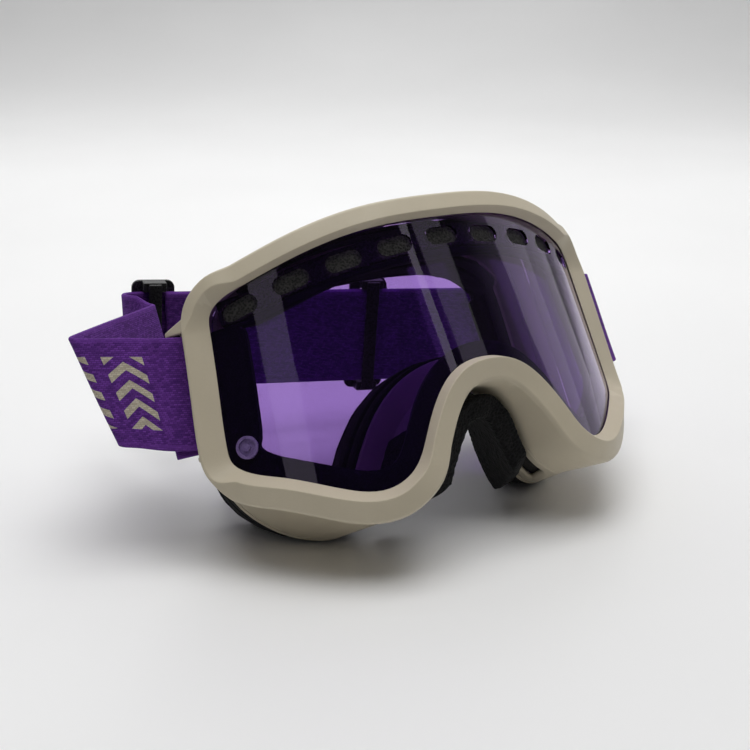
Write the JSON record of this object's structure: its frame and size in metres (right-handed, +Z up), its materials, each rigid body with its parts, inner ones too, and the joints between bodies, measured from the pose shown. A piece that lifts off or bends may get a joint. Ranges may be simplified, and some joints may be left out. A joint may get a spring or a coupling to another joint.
{
  "type": "ski goggles",
  "caption": "Ski goggles with a vented cylindrical double lens, a one-piece soft frame, layered face foam and a folded elastic strap with two sliders.",
  "frame": {"origin": "bottom centre of the whole object's box, on the surface that it stands on", "axes": "+Z up, -Y out of the front of the lens, +X towards the wearer's left; the goggles lean back 32 degrees about X"},
  "size_m": [0.2224, 0.1504, 0.1161],
  "materials": {
    "frame_beige": "matte soft-touch",
    "lens_purple": "polished, tinted",
    "lens_inner": "polished",
    "gasket_black": "matte",
    "foam_open_cell": "open-cell foam",
    "foam_black": "fine foam",
    "fleece_black": "brushed fleece",
    "breather_plastic": "gloss",
    "slider_black": "gloss",
    "webbing_purple": "knitted elastic"
  },
  "bodies": {
    "frame": {"front_frame": "frame_beige", "face_frame": "frame_beige", "outer_lens": "lens_purple", "inner_lens": "lens_inner", "lens_spacer_foam": "gasket_black", "slot_vent_foam": "foam_open_cell", "top_vent_foam": "foam_open_cell", "lower_vent_foam_left": "foam_open_cell", "lower_vent_foam_right": "foam_open_cell", "face_foam_base": "foam_black", "face_foam_pad": "foam_black", "face_fleece": "fleece_black", "nose_foam": "foam_black", "breather_disc": "breather_plastic", "strap_post_left": "slider_black", "strap_post_right": "slider_black"},
    "strap_left": {"strap_left_arm": "webbing_purple", "strap_left_sewn_end": "webbing_purple"},
    "rear_band": {"strap_rear_band": "webbing_purple", "strap_overlap": "webbing_purple"},
    "strap_right": {"strap_right_arm": "webbing_purple", "strap_right_sewn_end": "webbing_purple"},
    "slider_left": {"slider_left": "slider_black"},
    "slider_right": {"slider_right": "slider_black"}
  },
  "joints": [
    {"name": "strap_left_swing", "type": "hinge", "parent": "frame", "child": "strap_left", "pos_m": [-0.07735, -0.01087, 0.05515], "axis": [0, 0.5299, 0.848], "range_deg": [-8, 16]},
    {"name": "rear_band_swing", "type": "hinge", "parent": "strap_left", "child": "rear_band", "pos_m": [-0.06405, 0.04186, 0.0536], "axis": [0, 0.5299, 0.848], "range_deg": [-16, 8]},
    {"name": "strap_right_swing", "type": "hinge", "parent": "frame", "child": "strap_right", "pos_m": [0.08825, -0.01087, 0.05515], "axis": [0, 0.5299, 0.848], "range_deg": [-8, 16]},
    {"name": "slider_left_slide", "type": "slide", "parent": "rear_band", "child": "slider_left", "axis": [0.9692, -0.2364, -0.0694], "range_m": [0, 0.025]},
    {"name": "slider_right_slide", "type": "slide", "parent": "rear_band", "child": "slider_right", "axis": [0.9692, -0.2364, -0.0694], "range_m": [-0.02, 0.02]}
  ],
  "couplings": [
    {"joint": "rear_band_swing", "follows": "strap_left_swing", "ratio": -1},
    {"joint": "strap_right_swing", "follows": "strap_left_swing", "ratio": 1}
  ]
}
